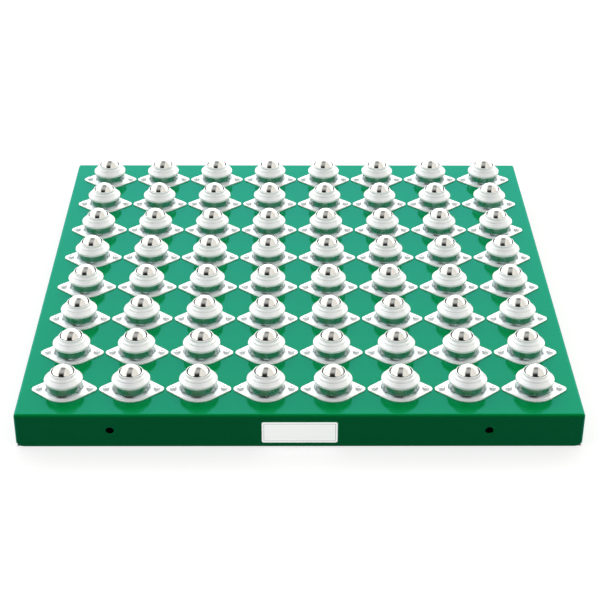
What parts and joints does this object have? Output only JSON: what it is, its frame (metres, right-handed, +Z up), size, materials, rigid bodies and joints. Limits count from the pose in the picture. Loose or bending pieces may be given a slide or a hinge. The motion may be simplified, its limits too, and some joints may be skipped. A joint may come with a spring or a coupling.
{
  "type": "ball transfer table",
  "caption": "Low square steel tray turned upside down, its deck covered with a grid of flange-mounted ball transfer units so a load can be pushed and turned in any direction.",
  "frame": {"origin": "on the floor plane, under the middle of the table", "axes": "+Z up out of the deck, -Y towards the front wall with the plate, +X to the right seen from the front"},
  "size_m": [0.6, 0.6003, 0.0709],
  "materials": {
    "green_paint": "gloss green enamel on folded sheet steel",
    "zinc_plate": "bright zinc-plated steel pressing",
    "polished_ball_steel": "ground and polished bearing steel",
    "hardened_steel": "hardened steel, lightly oiled",
    "screw_zinc": "zinc-plated fastener steel",
    "plate_face": "blank white-faced foil plate"
  },
  "bodies": {
    "table": {"tray": "green_paint", "stiffener_front": "green_paint", "stiffener_middle": "green_paint", "stiffener_rear": "green_paint", "name_plate": "plate_face", "base_flanges_row_1": "zinc_plate", "race_cups_row_1": "hardened_steel", "support_balls_row_1": "hardened_steel", "caps_row_1": "zinc_plate", "base_flanges_row_2": "zinc_plate", "race_cups_row_2": "hardened_steel", "support_balls_row_2": "hardened_steel", "caps_row_2": "zinc_plate", "base_flanges_row_3": "zinc_plate", "race_cups_row_3": "hardened_steel", "support_balls_row_3": "hardened_steel", "caps_row_3": "zinc_plate", "base_flanges_row_4": "zinc_plate", "race_cups_row_4": "hardened_steel", "support_balls_row_4": "hardened_steel", "caps_row_4": "zinc_plate", "base_flanges_row_5": "zinc_plate", "race_cups_row_5": "hardened_steel", "support_balls_row_5": "hardened_steel", "caps_row_5": "zinc_plate", "base_flanges_row_6": "zinc_plate", "race_cups_row_6": "hardened_steel", "support_balls_row_6": "hardened_steel", "caps_row_6": "zinc_plate", "base_flanges_row_7": "zinc_plate", "race_cups_row_7": "hardened_steel", "support_balls_row_7": "hardened_steel", "caps_row_7": "zinc_plate", "base_flanges_row_8": "zinc_plate", "race_cups_row_8": "hardened_steel", "support_balls_row_8": "hardened_steel", "caps_row_8": "zinc_plate", "mounting_screws": "screw_zinc", "spring_washers": "screw_zinc", "nuts": "screw_zinc"},
    "balls_row_1": {"main_balls_row_1": "polished_ball_steel"},
    "balls_row_2": {"main_balls_row_2": "polished_ball_steel"},
    "balls_row_3": {"main_balls_row_3": "polished_ball_steel"},
    "balls_row_4": {"main_balls_row_4": "polished_ball_steel"},
    "balls_row_5": {"main_balls_row_5": "polished_ball_steel"},
    "balls_row_6": {"main_balls_row_6": "polished_ball_steel"},
    "balls_row_7": {"main_balls_row_7": "polished_ball_steel"},
    "balls_row_8": {"main_balls_row_8": "polished_ball_steel"},
    "balls_column_1": {"main_balls_column_1": "polished_ball_steel"},
    "balls_column_2": {"main_balls_column_2": "polished_ball_steel"},
    "balls_column_3": {"main_balls_column_3": "polished_ball_steel"},
    "balls_column_4": {"main_balls_column_4": "polished_ball_steel"},
    "balls_column_5": {"main_balls_column_5": "polished_ball_steel"},
    "balls_column_6": {"main_balls_column_6": "polished_ball_steel"},
    "balls_column_7": {"main_balls_column_7": "polished_ball_steel"},
    "balls_column_8": {"main_balls_column_8": "polished_ball_steel"}
  },
  "joints": [
    {"name": "row_1_roll", "type": "hinge", "parent": "table", "child": "balls_row_1", "pos_m": [0, -0.252, 0.0582], "axis": [1, 0, 0], "continuous": true},
    {"name": "row_2_roll", "type": "hinge", "parent": "table", "child": "balls_row_2", "pos_m": [0, -0.18, 0.0582], "axis": [1, 0, 0], "continuous": true},
    {"name": "row_3_roll", "type": "hinge", "parent": "table", "child": "balls_row_3", "pos_m": [0, -0.108, 0.0582], "axis": [1, 0, 0], "continuous": true},
    {"name": "row_4_roll", "type": "hinge", "parent": "table", "child": "balls_row_4", "pos_m": [0, -0.036, 0.0582], "axis": [1, 0, 0], "continuous": true},
    {"name": "row_5_roll", "type": "hinge", "parent": "table", "child": "balls_row_5", "pos_m": [0, 0.036, 0.0582], "axis": [1, 0, 0], "continuous": true},
    {"name": "row_6_roll", "type": "hinge", "parent": "table", "child": "balls_row_6", "pos_m": [0, 0.108, 0.0582], "axis": [1, 0, 0], "continuous": true},
    {"name": "row_7_roll", "type": "hinge", "parent": "table", "child": "balls_row_7", "pos_m": [0, 0.18, 0.0582], "axis": [1, 0, 0], "continuous": true},
    {"name": "row_8_roll", "type": "hinge", "parent": "table", "child": "balls_row_8", "pos_m": [0, 0.252, 0.0582], "axis": [1, 0, 0], "continuous": true},
    {"name": "column_1_roll", "type": "hinge", "parent": "table", "child": "balls_column_1", "pos_m": [-0.252, 0, 0.0582], "axis": [0, 1, 0], "continuous": true},
    {"name": "column_2_roll", "type": "hinge", "parent": "table", "child": "balls_column_2", "pos_m": [-0.18, 0, 0.0582], "axis": [0, 1, 0], "continuous": true},
    {"name": "column_3_roll", "type": "hinge", "parent": "table", "child": "balls_column_3", "pos_m": [-0.108, 0, 0.0582], "axis": [0, 1, 0], "continuous": true},
    {"name": "column_4_roll", "type": "hinge", "parent": "table", "child": "balls_column_4", "pos_m": [-0.036, 0, 0.0582], "axis": [0, 1, 0], "continuous": true},
    {"name": "column_5_roll", "type": "hinge", "parent": "table", "child": "balls_column_5", "pos_m": [0.036, 0, 0.0582], "axis": [0, 1, 0], "continuous": true},
    {"name": "column_6_roll", "type": "hinge", "parent": "table", "child": "balls_column_6", "pos_m": [0.108, 0, 0.0582], "axis": [0, 1, 0], "continuous": true},
    {"name": "column_7_roll", "type": "hinge", "parent": "table", "child": "balls_column_7", "pos_m": [0.18, 0, 0.0582], "axis": [0, 1, 0], "continuous": true},
    {"name": "column_8_roll", "type": "hinge", "parent": "table", "child": "balls_column_8", "pos_m": [0.252, 0, 0.0582], "axis": [0, 1, 0], "continuous": true}
  ]
}
